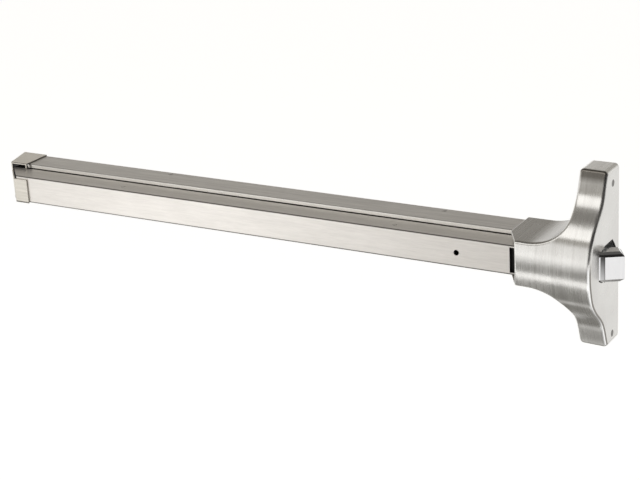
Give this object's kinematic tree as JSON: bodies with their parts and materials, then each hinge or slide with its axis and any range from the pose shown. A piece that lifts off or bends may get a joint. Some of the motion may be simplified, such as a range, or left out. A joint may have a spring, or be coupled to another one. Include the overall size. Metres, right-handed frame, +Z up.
{
  "type": "rim exit device",
  "caption": "Push-bar rim exit device: a spring-loaded touch pad in a door-wide rail works bell cranks and a draw rod that swing a bevelled latch bolt into the head.",
  "frame": {"origin": "centre of the head's four-screw pattern, on the door plane", "axes": "+X along the bar towards the latch edge, +Y into the door, +Z up; the room is at -Y"},
  "size_m": [0.851, 0.0848, 0.203],
  "materials": {
    "cover_stainless": "satin vertical brush",
    "rail_stainless": "satin lengthways brush",
    "pad_stainless": "satin lengthways brush",
    "cap_stainless": "satin brush",
    "bolt_steel": "fine ground",
    "plated_steel": "zinc plated",
    "crank_steel": "cast and tumbled",
    "pin_steel": "turned",
    "screw_steel": "turned",
    "spring_steel": "drawn wire",
    "nylon": "moulded",
    "black_plastic": "moulded",
    "rubber": "moulded"
  },
  "bodies": {
    "frame": {"head_cover": "cover_stainless", "cover_screws": "screw_steel", "head_chassis": "plated_steel", "latch_pivot_pin": "pin_steel", "latch_stop_pin": "pin_steel", "rail_channel": "rail_stainless", "rail_screws": "screw_steel", "crank_bracket_near": "plated_steel", "crank_bracket_far": "plated_steel", "crank_pivot_pins": "pin_steel", "bracket_rivets": "rail_stainless", "base_rivets": "pin_steel", "rod_guide_head": "nylon", "rod_guide_far": "nylon", "spring_anchor": "plated_steel", "return_spring": "spring_steel", "pad_guides": "nylon", "dogging_bracket": "plated_steel", "end_cap": "cap_stainless", "end_bracket": "plated_steel", "end_cap_screw": "screw_steel"},
    "pad": {"touch_pad": "pad_stainless", "pad_bracket_near": "plated_steel", "pad_bracket_far": "plated_steel", "pad_rivets": "pad_stainless", "pad_link_pins": "pin_steel", "pad_bumpers": "rubber", "pad_end_plug": "black_plastic"},
    "draw_rod": {"draw_rod": "plated_steel", "dogging_catch_pin": "pin_steel"},
    "crank_near": {"bell_crank_near": "crank_steel", "rod_pin_near": "pin_steel", "rod_clip_near": "pin_steel"},
    "crank_far": {"bell_crank_far": "crank_steel", "rod_pin_far": "pin_steel", "rod_clip_far": "pin_steel"},
    "latch": {"latch_bolt": "bolt_steel", "latch_tail_pin": "pin_steel", "latch_tail_clip": "pin_steel"},
    "dogging": {"dogging_screw": "screw_steel", "dogging_cam": "pin_steel"}
  },
  "joints": [
    {"name": "pad_press", "type": "slide", "parent": "frame", "child": "pad", "axis": [0, 1, 0], "range_m": [0, 0.013], "stiffness_N_per_m": 1500, "springref_m": -0.012},
    {"name": "rod_slide", "type": "slide", "parent": "frame", "child": "draw_rod", "axis": [-1, 0, 0], "range_m": [0, 0.01446], "deforming": ["return_spring"]},
    {"name": "crank_near_turn", "type": "hinge", "parent": "frame", "child": "crank_near", "pos_m": [-0.174, -0.017, 0], "axis": [0, 0, -1], "range_deg": [0, 38.05]},
    {"name": "crank_far_turn", "type": "hinge", "parent": "frame", "child": "crank_far", "pos_m": [-0.555, -0.017, 0], "axis": [0, 0, -1], "range_deg": [0, 38.05]},
    {"name": "latch_swing", "type": "hinge", "parent": "frame", "child": "latch", "pos_m": [-0.00915, -0.0604, 0], "axis": [0, 0, 1], "range_deg": [0, 38.05]},
    {"name": "dogging_turn", "type": "hinge", "parent": "frame", "child": "dogging", "pos_m": [-0.1477, -0.0388, -0.0005], "axis": [0, -1, 0], "range_deg": [0, 90]}
  ],
  "couplings": [
    {"joint": "rod_slide", "follows": "pad_press", "ratio": 1.1119},
    {"joint": "crank_near_turn", "follows": "pad_press", "rad_per_m": 51.017},
    {"joint": "crank_far_turn", "follows": "pad_press", "rad_per_m": 51.017},
    {"joint": "latch_swing", "follows": "pad_press", "rad_per_m": 51.017}
  ]
}
